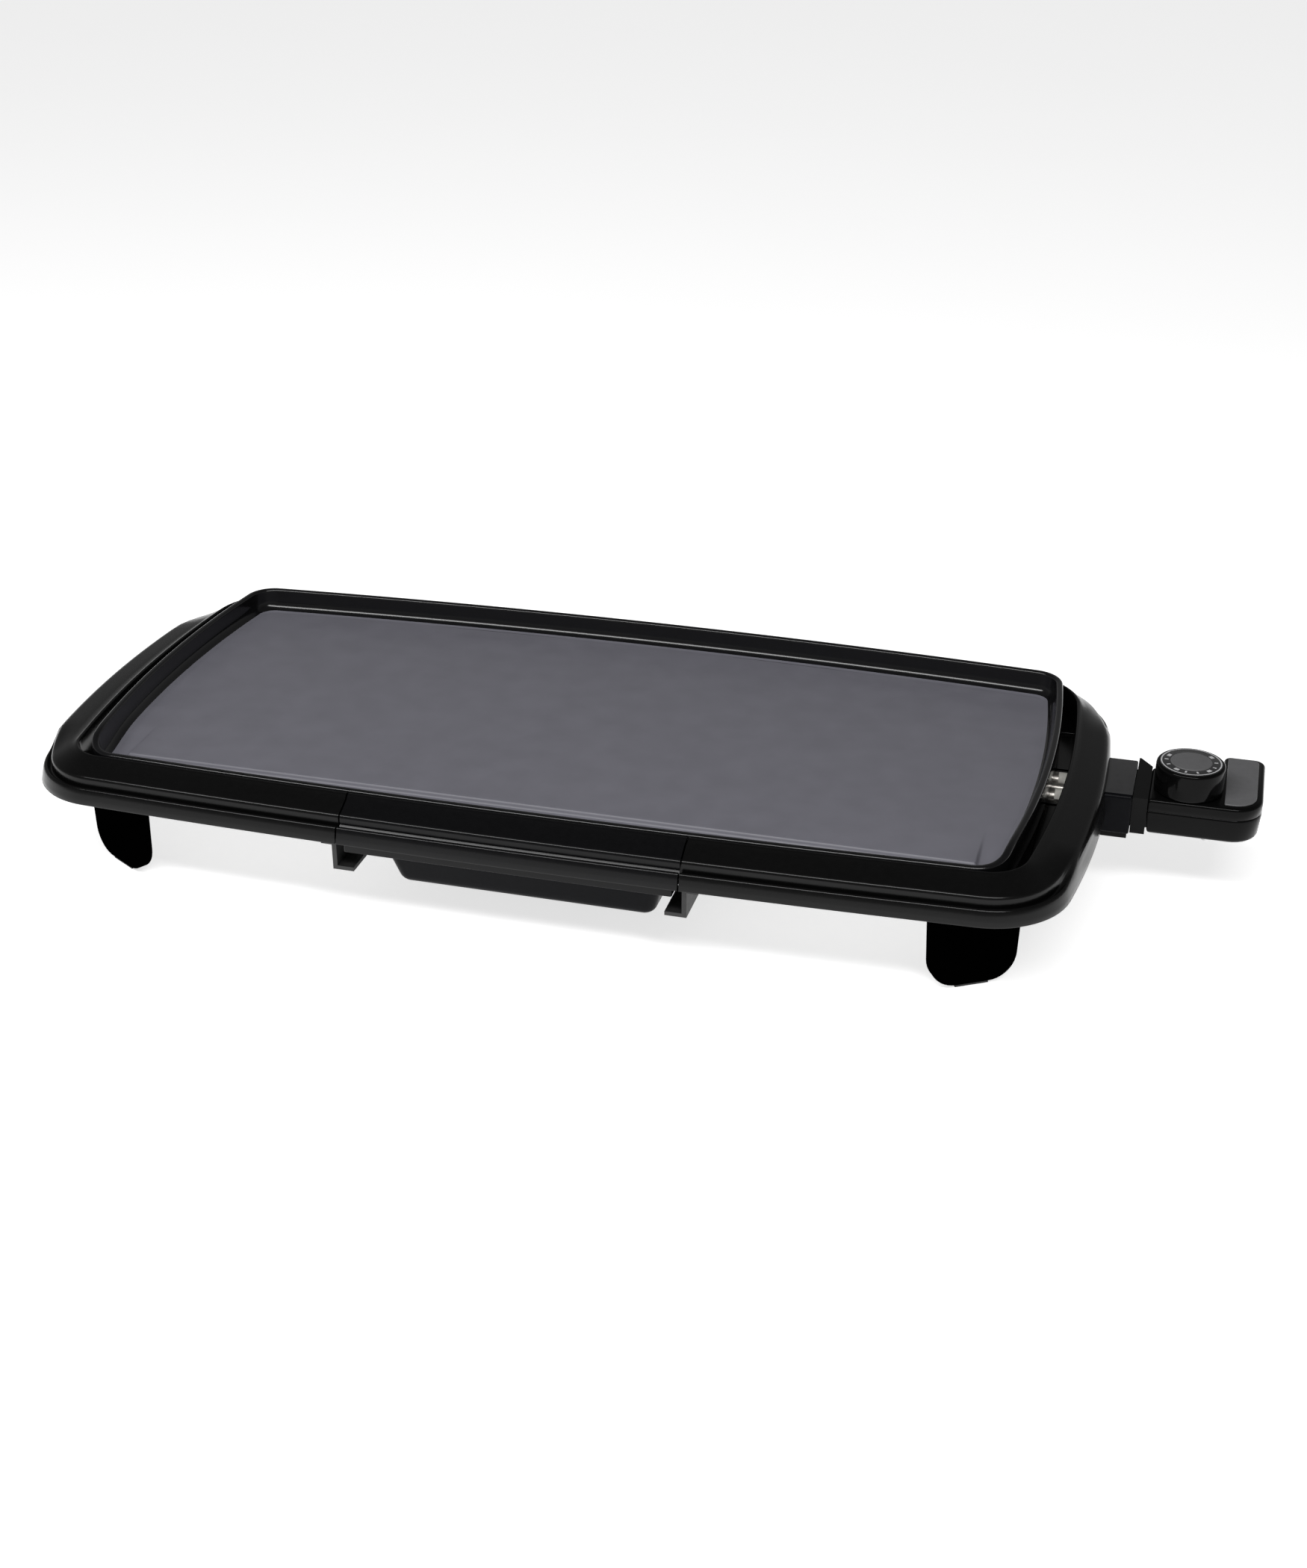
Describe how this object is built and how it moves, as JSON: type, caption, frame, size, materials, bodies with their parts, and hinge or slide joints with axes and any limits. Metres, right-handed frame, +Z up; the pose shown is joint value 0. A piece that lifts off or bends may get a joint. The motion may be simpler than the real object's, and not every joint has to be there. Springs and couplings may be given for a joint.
{
  "type": "electric griddle",
  "caption": "Rectangular countertop electric griddle with a bowed frame, a slide-out drip tray and a plug-in heat control with a dial.",
  "frame": {"origin": "on the table, under the middle of the whole outline, control included", "axes": "+X towards the heat control, -Y towards the drip tray front, +Z up"},
  "size_m": [0.66, 0.2839, 0.0787],
  "materials": {
    "frame_black": "glossy black phenolic",
    "tray_black": "glossy black moulding",
    "rail_black": "black moulding",
    "control_black": "glossy black phenolic",
    "nonstick": "dark grey satin non-stick coating on cast aluminium",
    "sheath_steel": "oxidised sheath",
    "nickel": "nickel plate",
    "ceramic_white": "unglazed steatite",
    "pad_rubber": "moulded rubber",
    "screw_steel": "zinc plate",
    "leaf_brass": "rolled strip",
    "satin_grey": "satin grey",
    "dial_silver": "printed satin silver"
  },
  "bodies": {
    "base": {"base_frame": "frame_black", "griddle_plate": "nonstick", "heating_element": "sheath_steel", "terminal_pins": "nickel", "terminal_seals": "ceramic_white", "socket_guard": "frame_black", "tray_rail_left": "rail_black", "tray_rail_right": "rail_black", "leg_front_left": "frame_black", "leg_front_right": "frame_black", "leg_back_left": "frame_black", "leg_back_right": "frame_black", "foot_pads": "pad_rubber", "leg_screws": "screw_steel", "plate_screws": "screw_steel"},
    "drip_tray": {"drip_tray": "tray_black"},
    "control": {"control_lower": "control_black", "control_upper": "control_black", "handle_cover": "satin_grey", "control_flange": "control_black", "probe_tube": "sheath_steel", "contact_sleeves": "nickel", "ceramic_block": "ceramic_white", "contact_leaf": "leaf_brass", "bimetal_strip": "leaf_brass", "cord_gland": "pad_rubber", "control_screws": "screw_steel"},
    "dial": {"dial_knob": "control_black", "dial_ring": "dial_silver", "dial_cap": "satin_grey", "dial_spindle": "screw_steel"},
    "nut": {"adjuster_nut": "leaf_brass"}
  },
  "joints": [
    {"name": "tray_slide", "type": "slide", "parent": "base", "child": "drip_tray", "axis": [0, -1, 0], "range_m": [0, 0.16]},
    {"name": "control_plug", "type": "slide", "parent": "base", "child": "control", "axis": [1, 0, 0], "range_m": [0, 0.08]},
    {"name": "dial_turn", "type": "hinge", "parent": "control", "child": "dial", "pos_m": [0.2908, 0.0157, 0.058], "axis": [0, 0, 1], "range_deg": [-270, 0]},
    {"name": "nut_travel", "type": "slide", "parent": "control", "child": "nut", "axis": [0, 0, 1], "range_m": [-0.001, 0]}
  ],
  "couplings": [
    {"joint": "nut_travel", "follows": "dial_turn", "m_per_rad": 0.00019099}
  ]
}
